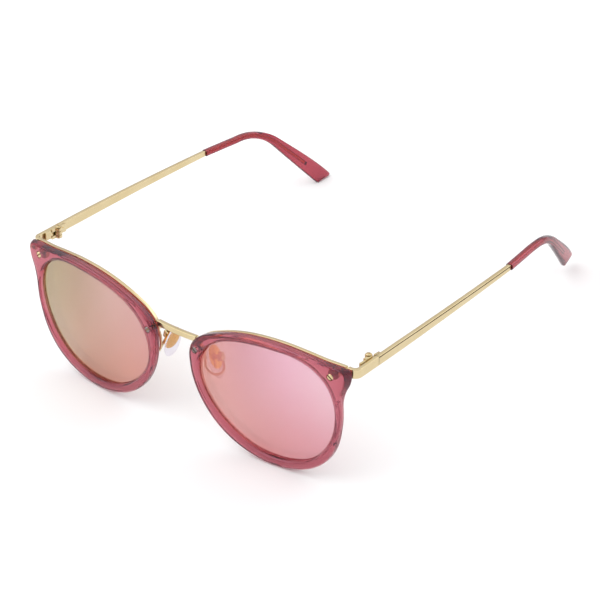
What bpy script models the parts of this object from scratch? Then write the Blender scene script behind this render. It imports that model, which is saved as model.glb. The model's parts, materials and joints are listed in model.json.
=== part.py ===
"""Cat eye sunglasses: two acetate rims on a gold brow chassis, folding temples, adjustable nose pads.

The frame is drawn in its worn attitude, in millimetres: X to the wearer's left, Y towards the ears,
Z up, with the origin midway between the lens centres. An empty then tips it onto the surface it stands on,
where it rests on its two rims and its right temple tip.
"""
import math

import bmesh
import bpy
from mathutils import Matrix, Vector

MM = 0.001
GAP = 0.3
FINE_GAP = 0.15
CUT_NEAR = -4.0
CUT_FAR = 12.0
LEFT = 1
RIGHT = -1
SIDE_NAMES = {LEFT: "left", RIGHT: "right"}

# How the frame stands on a table.
REST_TILT = math.radians(8.51)
REST_LIFT = 25.61
FOOT_SPAN_X = (5.0, 80.0)
FOOT_SPAN_Y = (-20.0, 170.0)
FOOT_DEPTH = 5.0

# Lens surface: face-form wrap, base curve and the tilt of the lenses.
LENS_CENTRE = (39.0, 0.0)
WRAP_X = 34.0
WRAP_SLOPE = 0.075
LENS_CURVE = 0.0011
TILT_SLOPE = -0.0725

# Rim and lens sections, measured from the lens surface towards the ears.
RIM_FRONT = -1.4
RIM_REAR = 2.0
RIM_CHAMFER_FRONT = 0.6
RIM_CHAMFER_REAR = 0.75
GROOVE_FRONT = 0.15
GROOVE_REAR = 1.25
GROOVE_DEPTH = 0.85
LENS_THICKNESS = 1.8
LUG_FLARE = 0.9
LUG_START_X = 67.6
TONGUE_FRONT = 0.35
TONGUE_REAR = 1.05
TONGUE_REACH = 0.5
LENS_CLEARANCE = 0.2
RIM_STATIONS = 88
LENS_STATIONS = 64

# Outlines as (distance from the middle of the frame, height), counter-clockwise on the left side.
LENS_OUTLINE = [(65.6, 0.0), (65.6, 7.2), (63.0, 13.7), (57.6, 18.3), (50.8, 20.3), (42.5, 20.4),
                (34.0, 19.7), (26.0, 18.1), (19.6, 15.5), (14.6, 11.2), (11.7, 5.4), (11.4, -1.2),
                (13.7, -7.2), (18.0, -12.8), (24.0, -17.6), (31.5, -21.1), (39.5, -22.1), (47.0, -21.3),
                (54.0, -18.6), (60.0, -13.2), (63.9, -6.4)]
RIM_OUTLINE = [(67.5, -0.6), (67.8, 4.0), (67.9, 8.4), (68.6, 12.3), (69.5, 15.0), (70.2, 17.4),
               (70.3, 19.8), (69.7, 20.9), (68.2, 21.3), (61.0, 21.7), (54.0, 22.4), (46.0, 22.9),
               (38.0, 22.7), (30.5, 21.8), (24.0, 20.3), (18.0, 18.2), (13.2, 15.9), (9.6, 12.6),
               (7.9, 8.6), (7.8, 4.6), (8.5, -1.0), (11.0, -7.9), (15.2, -14.3), (20.6, -19.3),
               (28.5, -23.4), (38.5, -25.4), (46.5, -24.7), (54.5, -21.9), (60.9, -17.0), (65.2, -10.0)]

# Rim screws.
SCREW_OUTER = (65.0, 17.9)
SCREW_NASAL = (10.6, 9.7)
SCREW_HEAD_R = 1.15
SCREW_HEAD_H = 0.6
SCREW_SHANK_R = 0.6
SCREW_HOLE_R = 0.75
SCREW_SEAT_R = 1.3
SCREW_SEAT_DEPTH = 0.65
SLOT_WIDTH = 0.42
SLOT_DEPTH = 0.38
SLOT_TURN = math.radians(40.0)

# Gold chassis.
BAR_DEPTH = 1.3
BAR_HEIGHT = 1.9
BAR_INSET = 0.25
BAR_NASAL_Z = 9.0
BAR_OUTER_X = 68.35
BAR_OUTER_Z = 21.0
BOSS_R = 1.9
BOSS_NASAL_R = 1.6
BRIDGE_HALF = 8.55
BRIDGE_Z = 11.75
BRIDGE_HEIGHT = 1.9
BRIDGE_DEPTH = 1.7
BRIDGE_END_Y = 0.6
BRIDGE_BOW = 0.4

# Side strips. Distances are to the outer face and the middle of the height at the hinge.
STRIP_OUTER_X = 72.25
STRIP_THICKNESS = 1.45
STRIP_TOE_IN = 0.0097
STRIP_CURVE = 0.000295
STRIP_Z = 19.5
STRIP_RISE = 0.041
STRIP_FALL = 0.00008
STRIP_HEIGHT = 3.3
STRIP_HEIGHT_END = 1.9
STRIP_TAPER_Y = 28.0
CORNER_RADIUS = 2.7
CORNER_Y = 8.1
END_PIECE_START_X = 68.6

# Hinges. The axis is upright, on the inner side of the end piece.
HINGE_X = 69.35
HINGE_Y = 15.3
HINGE_Z = 19.65
JOINT_Y = 17.0
KNUCKLE_R = 1.3
KNUCKLE_BORE_R = 0.62
HINGE_SCREW_R = 0.5
HINGE_HEAD_R = 1.05
HINGE_CROWN_R = 0.75
HINGE_HEAD_RISE = 0.25
HINGE_CROWN_RISE = 0.4
HINGE_SLOT_FLOOR = 0.2
HINGE_HEIGHT = 3.8
MIDDLE_KNUCKLE = 1.3
KNUCKLE_GAP = 0.12
LEAF_INNER = 0.55
LEAF_OUTER = 1.3
LEAF_HALF_HEIGHT = 1.5
FRONT_LEAF_LENGTH = 5.5
TEMPLE_LEAF_LENGTH = 4.4
LEAF_SETBACK = 1.9

# Temple tip: straight, bent down behind the ear, straight again, toeing in and widening to a paddle.
# The right tip has been bent further down than the left, as an optician does to level a frame.
TIP_START_Y = 91.4
TIP_BEND_Y = 108.5
TIP_BEND_RADIUS = 21.3
TIP_BEND = {LEFT: math.radians(45.0), RIGHT: math.radians(50.0)}
TIP_STRAIGHT = 26.9
TIP_TOE_IN = 0.25
TIP_TOE_START = 16.0
TIP_TOE_EASE = 20.0
TIP_SETTLE = 1.0
TIP_SIZE = (2.6, 2.2)
PADDLE_SIZE = (2.0, 6.2)
PADDLE_OFFSET = 1.85
TIP_END_SLANT = 0.55
TIP_END_CAP = 0.9
TIP_STATIONS = 24
CORE_SIZE = (1.0, 1.1)
CORE_STOP = 11.0
CORE_CLEARANCE = 0.15

# Nose pads. The pad's own axes: u up its length, v across it towards the ear, n towards the nose.
PAD_CENTRE = (9.9, 8.2, 0.8)
PAD_HALF = (6.9, 3.2)
PAD_THICKNESS = 1.8
PAD_DOWN = (0.32, 0.08, -0.94)
PAD_SPLAY = math.radians(-8.0)
PIVOT_U = 1.1
PIVOT_N = -2.2
PLATE_HALF = (4.3, 2.9)
PLATE_NEAR = -0.15
PLATE_FAR = -0.6
BOX_HALF_U = 1.3
BOX_HALF_V = 1.05
BOX_SLOT = 0.55
BOX_BACK = -1.4
BOX_WALL = 0.45
BOX_FRONT = 0.6
LUG_HALF = 0.38
EYE_R = 0.75
PAD_BORE_R = 0.42
PAD_SCREW_R = 0.3
PAD_SCREW_HEAD_R = 0.6
ARM_WIDTH = 0.85
ARM_DEPTH = 0.65
ARM_LEG = (10.0, 2.9)
ARM_BULGE = 1.8
ARM_TOP_Z = 9.9
ARM_STEPS = (2.4, 4.6, 2.2)
ARM_KNEE = 0.2
ARM_FOOT = 0.8
ARM_END_N = -0.7


def face_y(x, z):
    """Lens surface at distance x from the middle and height z."""
    out = x - WRAP_X
    return WRAP_SLOPE * out + LENS_CURVE * out * out + TILT_SLOPE * z + LENS_CURVE * z * z


def face_normal(x, z):
    """Unit normal of the lens surface, pointing to the ears, on the left side."""
    slope_x = WRAP_SLOPE + 2 * LENS_CURVE * (x - WRAP_X)
    slope_z = TILT_SLOPE + 2 * LENS_CURVE * z
    return Vector((-slope_x, 1.0, -slope_z)).normalized()


def smooth_loop(points, steps=12):
    """Closed centripetal Catmull-Rom curve through the points."""
    count = len(points)
    curve = []
    for i in range(count):
        quad = [Vector(points[(i + k) % count]) for k in (-1, 0, 1, 2)]
        knots = [0.0]
        for a, b in zip(quad, quad[1:]):
            knots.append(knots[-1] + math.sqrt((b - a).length))
        for step in range(steps):
            t = knots[1] + (knots[2] - knots[1]) * step / steps
            level = quad
            for order in (1, 2, 3):
                level = [level[j].lerp(level[j + 1], (t - knots[k0]) / (knots[k1] - knots[k0]))
                         for j, (k0, k1) in enumerate(spans(order))]
            curve.append(level[0])
    return curve


def spans(order):
    """Knot pairs blended at each order of the Catmull-Rom pyramid."""
    return {1: ((0, 1), (1, 2), (2, 3)), 2: ((0, 2), (1, 3)), 3: ((1, 2),)}[order]


def even_stations(curve, count):
    """Points at equal arc length along a closed curve."""
    loop = curve + [curve[0]]
    lengths = [0.0]
    for a, b in zip(loop, loop[1:]):
        lengths.append(lengths[-1] + (b - a).length)
    stations = []
    j = 0
    for i in range(count):
        target = lengths[-1] * i / count
        while lengths[j + 1] < target:
            j += 1
        stations.append(loop[j].lerp(loop[j + 1], (target - lengths[j]) / (lengths[j + 1] - lengths[j])))
    return stations


def radius_towards(curve, direction):
    """Distance from the lens centre to a star-shaped closed curve along a direction."""
    centre = Vector(LENS_CENTRE)
    side = Vector((-direction.y, direction.x))
    for a, b in zip(curve, curve[1:] + curve[:1]):
        pa, pb = a - centre, b - centre
        sa, sb = pa.dot(side), pb.dot(side)
        if sa <= 0.0 < sb and pa.dot(direction) + pb.dot(direction) > 0.0:
            return pa.lerp(pb, sa / (sa - sb)).dot(direction)
    raise ValueError("the outline does not surround the lens centre")


def lens_curve():
    return smooth_loop(LENS_OUTLINE)


def rim_curve():
    return smooth_loop(RIM_OUTLINE)


def on_face(flat, depth, side):
    """Point at a flat outline position and a depth behind the lens surface."""
    return Vector((side * flat.x, face_y(flat.x, flat.y) + depth, flat.y))


def make_material(name, colour, roughness, metallic, transmission=0.0):
    material = bpy.data.materials.new(name)
    material.use_nodes = True
    shader = material.node_tree.nodes["Principled BSDF"]
    shader.inputs["Base Color"].default_value = (*colour, 1.0)
    shader.inputs["Roughness"].default_value = roughness
    shader.inputs["Metallic"].default_value = metallic
    shader.inputs["Transmission Weight"].default_value = transmission
    return material


def gold(name):
    return make_material(name, (0.80, 0.67, 0.40), 0.22, 1.0)


def acetate(name):
    return make_material(name, (0.52, 0.16, 0.19), 0.12, 0.0, 0.4)


def add_object(name, bm, material, parent, smooth_deg=40.0):
    """Mesh object from millimetre geometry in the parent's axes."""
    bmesh.ops.recalc_face_normals(bm, faces=bm.faces)
    bm.transform(Matrix.Scale(MM, 4))
    mesh = bpy.data.meshes.new(name)
    bm.to_mesh(mesh)
    bm.free()
    mesh.shade_smooth()
    mesh.set_sharp_from_angle(angle=math.radians(smooth_deg))
    mesh.materials.append(material)
    obj = bpy.data.objects.new(name, mesh)
    bpy.context.scene.collection.objects.link(obj)
    obj.parent = parent
    return obj


def add_empty(name, location_mm, parent=None, rotation=None):
    empty = bpy.data.objects.new(name, None)
    empty.empty_display_size = 0.005
    bpy.context.scene.collection.objects.link(empty)
    empty.parent = parent
    empty.location = Vector(location_mm) * MM
    if rotation is not None:
        empty.rotation_mode = "QUATERNION"
        empty.rotation_quaternion = rotation.to_quaternion()
    return empty


def loft(bm, rings, closed_path=False, caps=True):
    """Skin a list of equal rings; a closed path joins the last ring to the first."""
    loops = [[bm.verts.new(p) for p in ring] for ring in rings]
    pairs = list(zip(loops, loops[1:]))
    if closed_path:
        pairs.append((loops[-1], loops[0]))
    for a, b in pairs:
        for i in range(len(a)):
            j = (i + 1) % len(a)
            bm.faces.new((a[i], a[j], b[j], b[i]))
    if caps and not closed_path:
        bm.faces.new(reversed(loops[0]))
        bm.faces.new(loops[-1])
    return loops


def add_cylinder(bm, radius, z0, z1, segments=24, matrix=Matrix.Identity(4)):
    centre = Matrix.Translation((0, 0, (z0 + z1) / 2))
    return bmesh.ops.create_cone(bm, cap_ends=True, segments=segments, radius1=radius, radius2=radius,
                                 depth=z1 - z0, matrix=matrix @ centre)


def add_box(bm, low, high, matrix=Matrix.Identity(4)):
    size = [h - l for l, h in zip(low, high)]
    middle = [(h + l) / 2 for l, h in zip(low, high)]
    placed = matrix @ Matrix.Translation(middle) @ Matrix.Diagonal((*size, 1.0))
    return bmesh.ops.create_cube(bm, size=1.0, matrix=placed)


def boolean(obj, cutter, operation):
    """Boolean against a helper object that is not part of the frame."""
    cutter.hide_render = True
    cutter.display_type = "WIRE"
    cutter.data.materials.clear()
    modifier = obj.modifiers.new(operation.title(), "BOOLEAN")
    modifier.operation = operation
    modifier.object = cutter
    modifier.solver = "EXACT"


def helper(name, bm, parent):
    return add_object(name, bm, make_material(name, (0.5, 0.5, 0.5), 0.5, 0.0), parent)


def level_foot(obj, side, root):
    """Cut the small flat on which a rim or tip touches the surface the frame stands on."""
    table = Matrix.Rotation(REST_TILT, 4, "X") @ Matrix.Translation((0.0, 0.0, -REST_LIFT))
    below = bmesh.new()
    low, high = FOOT_SPAN_X
    add_box(below, (min(low * side, high * side), FOOT_SPAN_Y[0], -FOOT_DEPTH),
            (max(low * side, high * side), FOOT_SPAN_Y[1], 0.0), table)
    boolean(obj, helper(obj.name + "_table", below, root), "DIFFERENCE")


# Rims and lenses ---------------------------------------------------------------------------------

def rim_section(width, flare):
    """Rim section: distance outward from the lens opening, depth behind the lens surface, sideways flare."""
    front, rear = RIM_CHAMFER_FRONT, RIM_CHAMFER_REAR
    return [(0.0, RIM_FRONT + front, 0.0), (front, RIM_FRONT, 0.0), (width - front, RIM_FRONT, 0.0),
            (width, RIM_FRONT + front, 0.0), (width, RIM_REAR - rear, flare), (width - rear, RIM_REAR, flare),
            (rear, RIM_REAR, 0.0), (0.0, RIM_REAR - rear * 0.5, 0.0), (0.0, GROOVE_REAR, 0.0),
            (GROOVE_DEPTH, GROOVE_REAR, 0.0), (GROOVE_DEPTH, GROOVE_FRONT, 0.0), (0.0, GROOVE_FRONT, 0.0)]


def build_rim(side, root):
    bm = bmesh.new()
    inner = lens_curve()
    rings = []
    for outer in even_stations(rim_curve(), RIM_STATIONS):
        direction = (outer - Vector(LENS_CENTRE)).normalized()
        start = Vector(LENS_CENTRE) + direction * radius_towards(inner, direction)
        width = (outer - start).length
        flare = LUG_FLARE * min(max((outer.x - LUG_START_X) / 2.0, 0.0), 1.0)
        rings.append([on_face(start + direction * s + Vector((f, 0.0)), d, side)
                      for s, d, f in rim_section(width, flare)])
    loft(bm, rings, closed_path=True)
    rim = add_object("rim_" + SIDE_NAMES[side], bm, acetate("acetate_" + SIDE_NAMES[side]), root)
    cut = bmesh.new()
    for spot in (SCREW_OUTER, SCREW_NASAL):
        place = screw_matrix(spot, side)
        add_cylinder(cut, SCREW_HOLE_R, CUT_NEAR, CUT_FAR, 20, place)
    boolean(rim, helper("rim_holes_" + SIDE_NAMES[side], cut, root), "DIFFERENCE")
    seats = bmesh.new()
    for spot in (SCREW_OUTER, SCREW_NASAL):
        add_cylinder(seats, SCREW_SEAT_R, CUT_NEAR, SCREW_SEAT_DEPTH, 20, screw_matrix(spot, side))
    boolean(rim, helper("rim_seats_" + SIDE_NAMES[side], seats, root), "DIFFERENCE")
    level_foot(rim, side, root)


def screw_matrix(spot, side):
    """Axes at a rim screw: origin on the rim's front face, +Z towards the ears."""
    x, z = spot
    normal = face_normal(x, z)
    normal.x *= side
    turn = normal.to_track_quat("Z", "Y").to_matrix().to_4x4()
    return Matrix.Translation((side * x, face_y(x, z) + RIM_FRONT, z)) @ turn


def build_lens(side, root):
    bm = bmesh.new()
    outline = even_stations(lens_curve(), LENS_STATIONS)
    centre = Vector(LENS_CENTRE)

    def ring(reach, depth, fraction=1.0):
        points = []
        for flat in outline:
            out = flat - centre
            points.append(on_face(centre + out.normalized() * (out.length + reach) * fraction, depth, side))
        return points

    body = -LENS_CLEARANCE
    rings = [ring(body, 0.0, 0.35), ring(body, 0.0, 0.7), ring(body, 0.0), ring(body, TONGUE_FRONT),
             ring(TONGUE_REACH, TONGUE_FRONT), ring(TONGUE_REACH, TONGUE_REAR), ring(body, TONGUE_REAR),
             ring(body, LENS_THICKNESS), ring(body, LENS_THICKNESS, 0.7), ring(body, LENS_THICKNESS, 0.35)]
    loops = loft(bm, rings, caps=False)
    for loop, depth in ((loops[0], 0.0), (loops[-1], LENS_THICKNESS)):
        middle = bm.verts.new(on_face(centre, depth, side))
        for a, b in zip(loop, loop[1:] + loop[:1]):
            bm.faces.new((a, b, middle))
    colour = (0.75, 0.42, 0.42) if side == LEFT else (0.68, 0.50, 0.36)
    material = make_material("mirror_lens_" + SIDE_NAMES[side], colour, 0.08, 0.6)
    add_object("lens_" + SIDE_NAMES[side], bm, material, root)


def build_rim_screw(label, spot, side, root, colour):
    bm = bmesh.new()
    place = screw_matrix(spot, side)
    top = SCREW_SEAT_DEPTH - FINE_GAP - SCREW_HEAD_H
    shank_end = RIM_REAR - RIM_FRONT + GAP + BAR_DEPTH - 0.35
    profile = [(0.0, top), (SCREW_HEAD_R * 0.8, top), (SCREW_HEAD_R, top + 0.2),
               (SCREW_HEAD_R, top + SCREW_HEAD_H), (SCREW_SHANK_R, top + SCREW_HEAD_H),
               (SCREW_SHANK_R, shank_end), (0.0, shank_end)]
    turned(bm, profile, 20, place)
    name = "rim_screw_" + label + "_" + SIDE_NAMES[side]
    screw = add_object(name, bm, make_material(name, colour, 0.25, 1.0), root)
    slot = bmesh.new()
    turn = place @ Matrix.Rotation(SLOT_TURN * side, 4, "Z")
    add_box(slot, (-2, -SLOT_WIDTH / 2, top - 1), (2, SLOT_WIDTH / 2, top + SLOT_DEPTH), turn)
    boolean(screw, helper(name + "_slot", slot, root), "DIFFERENCE")


def turned(bm, profile, segments, matrix=Matrix.Identity(4)):
    """Solid of revolution about Z from a profile that starts and ends on the axis."""
    rings = []
    for radius, height in profile[1:-1]:
        ring = []
        for i in range(segments):
            angle = 2 * math.pi * i / segments
            ring.append(matrix @ Vector((radius * math.cos(angle), radius * math.sin(angle), height)))
        rings.append(ring)
    loft(bm, rings)


# Gold chassis ------------------------------------------------------------------------------------

def bar_path():
    """Flat points along the top of the rim from the nasal corner to the lug."""
    points = [p for p in rim_curve() if p.y > BAR_NASAL_Z]
    points = [p for p in points if p.x < LENS_CENTRE[0] or (p.x < BAR_OUTER_X and p.y > BAR_OUTER_Z)]
    return sorted(points, key=lambda p: -math.atan2(p.y, p.x - LENS_CENTRE[0]))


def build_brow_bar(side, root):
    bm = bmesh.new()
    path = bar_path()[::3]
    y0 = RIM_REAR + GAP
    y1 = y0 + BAR_DEPTH
    rings = []
    for i, p in enumerate(path):
        before = path[max(i - 1, 0)]
        after = path[min(i + 1, len(path) - 1)]
        inward = Vector((after.y - before.y, before.x - after.x)).normalized()
        top = p + inward * BAR_INSET
        low = top + inward * BAR_HEIGHT
        rings.append([on_face(top, y0, side), on_face(top, y1, side),
                      on_face(low, y1, side), on_face(low, y0, side)])
    loft(bm, rings)
    name = "brow_bar_" + SIDE_NAMES[side]
    bar = add_object(name, bm, gold(name), root, 30.0)
    for label, spot, radius in (("outer", SCREW_OUTER, BOSS_R), ("nasal", SCREW_NASAL, BOSS_NASAL_R)):
        boss = bmesh.new()
        base = RIM_REAR - RIM_FRONT + GAP
        add_cylinder(boss, radius, base, base + BAR_DEPTH, 24, screw_matrix(spot, side))
        boolean(bar, helper(name + "_boss_" + label, boss, root), "UNION")
    bores = bmesh.new()
    for spot in (SCREW_OUTER, SCREW_NASAL):
        add_cylinder(bores, SCREW_HOLE_R, 0.0, CUT_FAR, 20, screw_matrix(spot, side))
    boolean(bar, helper(name + "_bores", bores, root), "DIFFERENCE")


def build_bridge(root):
    bm = bmesh.new()
    rings = []
    steps = 16
    for i in range(steps + 1):
        t = 2.0 * i / steps - 1.0
        x = BRIDGE_HALF * t
        y = BRIDGE_END_Y - BRIDGE_BOW * (1.0 - t * t)
        h, d = BRIDGE_HEIGHT / 2, BRIDGE_DEPTH / 2
        rings.append([(x, y - d, BRIDGE_Z - h), (x, y - d, BRIDGE_Z + h),
                      (x, y + d, BRIDGE_Z + h), (x, y + d, BRIDGE_Z - h)])
    loft(bm, rings)
    add_object("bridge", bm, gold("bridge"), root, 30.0)


def strip_line(y):
    """Middle of the side strip at a distance y back, in the worn frame."""
    back = y - JOINT_Y
    x = STRIP_OUTER_X - STRIP_THICKNESS / 2 - STRIP_TOE_IN * back - STRIP_CURVE * max(back, 0.0) * back
    z = STRIP_Z + STRIP_RISE * back - STRIP_FALL * max(back, 0.0) * back
    return Vector((x, y, z))


def build_end_piece(side, root):
    """Tall strip that turns from the brow bar back to the hinge."""
    bm = bmesh.new()
    half = STRIP_THICKNESS / 2
    turn = strip_line(CORNER_Y)
    radius = CORNER_RADIUS - half
    centre = Vector((turn.x - radius, CORNER_Y))
    path = [Vector((END_PIECE_START_X, centre.y - radius))]
    for i in range(9):
        angle = math.radians(-90.0 + 90.0 * i / 8)
        path.append(centre + Vector((math.cos(angle), math.sin(angle))) * radius)
    end = strip_line(JOINT_Y)
    path.append(Vector((end.x, end.y)))
    rings = []
    for i, p in enumerate(path):
        before = path[max(i - 1, 0)]
        after = path[min(i + 1, len(path) - 1)]
        run = (after - before).normalized()
        out = Vector((run.y, -run.x)) * half
        z = strip_line(max(p.y, CORNER_Y)).z
        low, high = z - STRIP_HEIGHT / 2, z + STRIP_HEIGHT / 2
        a, b = p + out, p - out
        rings.append([(side * a.x, a.y, low), (side * a.x, a.y, high),
                      (side * b.x, b.y, high), (side * b.x, b.y, low)])
    rings[-1] = [(x, JOINT_Y, z) for x, _, z in rings[-1]]
    loft(bm, rings)
    name = "end_piece_" + SIDE_NAMES[side]
    add_object(name, bm, gold(name), root, 30.0)


# Hinges and temples ------------------------------------------------------------------------------

def build_front_leaf(side, parent):
    """Plate on the end piece with the top and bottom knuckles, in the hinge's own axes."""
    name = "hinge_front_leaf_" + SIDE_NAMES[side]
    half = HINGE_HEIGHT / 2
    bm = bmesh.new()
    add_box(bm, (LEAF_INNER, -FRONT_LEAF_LENGTH, -LEAF_HALF_HEIGHT),
            (LEAF_OUTER, -LEAF_SETBACK, LEAF_HALF_HEIGHT), mirror(side))
    leaf = add_object(name, bm, gold(name), parent, 30.0)
    z0 = MIDDLE_KNUCKLE / 2 + KNUCKLE_GAP
    for label, low, high in (("top", z0, half), ("bottom", -half, -z0)):
        add_knuckle(leaf, label, low, high, -LEAF_SETBACK - 1.0, 0.0, side)
    bore_hinge(leaf)


def build_temple_leaf(side, parent):
    """Block on the temple with the middle knuckle."""
    name = "hinge_temple_leaf_" + SIDE_NAMES[side]
    tall = MIDDLE_KNUCKLE / 2
    bm = bmesh.new()
    add_box(bm, (LEAF_INNER, LEAF_SETBACK, -LEAF_HALF_HEIGHT),
            (LEAF_OUTER, TEMPLE_LEAF_LENGTH, LEAF_HALF_HEIGHT), mirror(side))
    leaf = add_object(name, bm, gold(name), parent, 30.0)
    add_knuckle(leaf, "middle", -tall, tall, 0.0, LEAF_SETBACK + 1.0, side)
    bore_hinge(leaf)


def add_knuckle(leaf, label, low, high, arm_front, arm_rear, side):
    """Union a knuckle round the hinge axis, and the arm that carries it, onto a leaf."""
    arm = bmesh.new()
    add_box(arm, (0.1, arm_front, low), (LEAF_OUTER, arm_rear, high), mirror(side))
    boolean(leaf, helper(leaf.name + "_arm_" + label, arm, leaf.parent), "UNION")
    knuckle = bmesh.new()
    add_cylinder(knuckle, KNUCKLE_R, low, high)
    boolean(leaf, helper(leaf.name + "_knuckle_" + label, knuckle, leaf.parent), "UNION")


def bore_hinge(leaf):
    bore = bmesh.new()
    add_cylinder(bore, KNUCKLE_BORE_R, -HINGE_HEIGHT, HINGE_HEIGHT)
    boolean(leaf, helper(leaf.name + "_bore", bore, leaf.parent), "DIFFERENCE")


def mirror(side):
    return Matrix.Diagonal((side, 1.0, 1.0, 1.0))


def build_hinge_screw(side, parent):
    name = "hinge_screw_" + SIDE_NAMES[side]
    bm = bmesh.new()
    top = HINGE_HEIGHT / 2
    head = top + FINE_GAP
    profile = [(0.0, -top), (HINGE_SCREW_R, -top), (HINGE_SCREW_R, head), (HINGE_HEAD_R, head),
               (HINGE_HEAD_R, head + HINGE_HEAD_RISE), (HINGE_CROWN_R, head + HINGE_CROWN_RISE),
               (0.0, head + HINGE_CROWN_RISE)]
    turned(bm, profile, 20)
    screw = add_object(name, bm, gold(name), parent)
    slot = bmesh.new()
    add_box(slot, (-2, -SLOT_WIDTH / 2, head + HINGE_SLOT_FLOOR), (2, SLOT_WIDTH / 2, top + 2.0))
    boolean(screw, helper(name + "_slot", slot, parent), "DIFFERENCE")


def tip_length(side):
    return (TIP_BEND_Y - TIP_START_Y) + TIP_BEND_RADIUS * TIP_BEND[side] + TIP_STRAIGHT


def tip_point(run, side):
    """Centre line of a tip at a run past the end of the gold, on the left side, and its slope in side view."""
    start = strip_line(TIP_START_Y)
    level = TIP_BEND_Y - TIP_START_Y
    rise = STRIP_RISE * 0.7
    bent = min(max(run - level, 0.0) / TIP_BEND_RADIUS, TIP_BEND[side])
    straight = max(run - level - TIP_BEND_RADIUS * TIP_BEND[side], 0.0)
    before = min(run, level)
    angle = rise - bent
    y = start.y + before + TIP_BEND_RADIUS * (math.sin(rise) - math.sin(angle)) + straight * math.cos(angle)
    z = (start.z + before * rise + TIP_BEND_RADIUS * (math.cos(angle) - math.cos(rise))
         + straight * math.sin(angle))
    toe = max(run - TIP_TOE_START, 0.0)
    x = strip_line(y).x - TIP_TOE_IN * toe * toe / (toe + TIP_TOE_EASE) - TIP_SETTLE * min(run / 15.0, 1.0)
    return Vector((x, y, z)), angle


def tip_frame(run, side):
    """Point on a tip's centre line with its along, up and outward directions, and how far it has widened."""
    point, angle = tip_point(run, side)
    step = 0.5
    low, high = max(run - step, 0.0), min(run + step, tip_length(side))
    along = (tip_point(high, side)[0] - tip_point(low, side)[0]).normalized()
    up = Vector((0.0, -math.sin(angle), math.cos(angle)))
    up = (up - along * up.dot(along)).normalized()
    out = along.cross(up)
    level = TIP_BEND_Y - TIP_START_Y
    swell = min(max((run - level) / (tip_length(side) - level), 0.0), 1.0)
    return point, along, up, out, swell * swell * (3 - 2 * swell)


def hinge_local(point, side):
    """Worn-frame point of the left temple in the hinge's own axes, mirrored for the right."""
    return Vector((side * (point.x - HINGE_X), point.y - HINGE_Y, point.z - HINGE_Z))


def flat_ring(point, up, out, size, side):
    """Rectangular section, thickness by height."""
    corners = ((1, -1), (1, 1), (-1, 1), (-1, -1))
    return [hinge_local(point + out * size[0] / 2 * a + up * size[1] / 2 * b, side) for a, b in corners]


def rounded_ring(point, up, out, size, side, segments=12):
    """Rounded rectangular section, as a superellipse."""
    ring = []
    for i in range(segments):
        angle = 2 * math.pi * (i + 0.5) / segments
        a = math.copysign(abs(math.cos(angle)) ** 0.55, math.cos(angle))
        b = math.copysign(abs(math.sin(angle)) ** 0.55, math.sin(angle))
        ring.append(hinge_local(point + out * size[0] / 2 * a + up * size[1] / 2 * b, side))
    return ring


def build_temple(side, parent):
    """Gold strip and the metal core that runs on into the tip, in one piece."""
    bm = bmesh.new()
    rings = []
    y_start = JOINT_Y + FINE_GAP
    steps = 10
    for i in range(steps + 1):
        y = y_start + (TIP_START_Y - y_start) * i / steps
        taper = max(y - STRIP_TAPER_Y, 0.0) / (TIP_START_Y - STRIP_TAPER_Y)
        height = STRIP_HEIGHT + (STRIP_HEIGHT_END - STRIP_HEIGHT) * taper
        rings.append(flat_ring(strip_line(y), Vector((0, 0, 1)), Vector((1, 0, 0)), (STRIP_THICKNESS, height), side))
    core_end = tip_length(side) - CORE_STOP
    for i in range(TIP_STATIONS):
        point, _, up, out, swell = tip_frame(core_end * i / (TIP_STATIONS - 1), side)
        rings.append(flat_ring(point + up * PADDLE_OFFSET * swell, up, out, CORE_SIZE, side))
    loft(bm, rings)
    name = "temple_" + SIDE_NAMES[side]
    add_object(name, bm, gold(name), parent, 30.0)


def build_tip(side, parent, root):
    """Acetate tip with a blind channel for the temple's core."""
    bm = bmesh.new()
    outer = []
    length = tip_length(side)
    for i in range(TIP_STATIONS):
        point, along, up, out, swell = tip_frame(GAP + (length - GAP) * i / (TIP_STATIONS - 1), side)
        size = [a + (b - a) * swell for a, b in zip(TIP_SIZE, PADDLE_SIZE)]
        outer.append(rounded_ring(point + up * PADDLE_OFFSET * swell, up, out, size, side))
    middle = hinge_local(point + up * PADDLE_OFFSET, side)
    along, up = (Vector((side * v.x, v.y, v.z)) for v in (along, up))
    outer[-1] = [p + along * (p - middle).dot(up) * TIP_END_SLANT for p in outer[-1]]
    outer.append([middle + (p - middle) * 0.72 + along * TIP_END_CAP for p in outer[-1]])
    channel = []
    channel_end = length - CORE_STOP + 1.0
    bore = [v + 2 * CORE_CLEARANCE for v in CORE_SIZE]
    for i in range(TIP_STATIONS):
        point, _, up, out, swell = tip_frame(GAP + (channel_end - GAP) * i / (TIP_STATIONS - 1), side)
        channel.append(rounded_ring(point + up * PADDLE_OFFSET * swell, up, out, bore, side))
    skin = loft(bm, outer, caps=False)
    inside = loft(bm, channel, caps=False)
    bm.faces.new(skin[-1])
    bm.faces.new(inside[-1])
    for i in range(len(skin[0])):
        j = (i + 1) % len(skin[0])
        bm.faces.new((skin[0][i], skin[0][j], inside[0][j], inside[0][i]))
    name = "temple_tip_" + SIDE_NAMES[side]
    tip = add_object(name, bm, acetate(name), parent)
    if side == RIGHT:
        level_foot(tip, side, root)


# Nose pads ---------------------------------------------------------------------------------------

def pad_axes(side):
    """Pad axes u, v, n as columns, in the worn frame."""
    up = -Vector(PAD_DOWN).normalized()
    nose = Vector((-math.cos(PAD_SPLAY), math.sin(PAD_SPLAY), 0.0))
    nose = (nose - up * nose.dot(up)).normalized()
    across = nose.cross(up)
    if across.y < 0:
        across = -across
    basis = [Vector((v.x * side, v.y, v.z)) for v in (up, across, nose)]
    return basis


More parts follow.
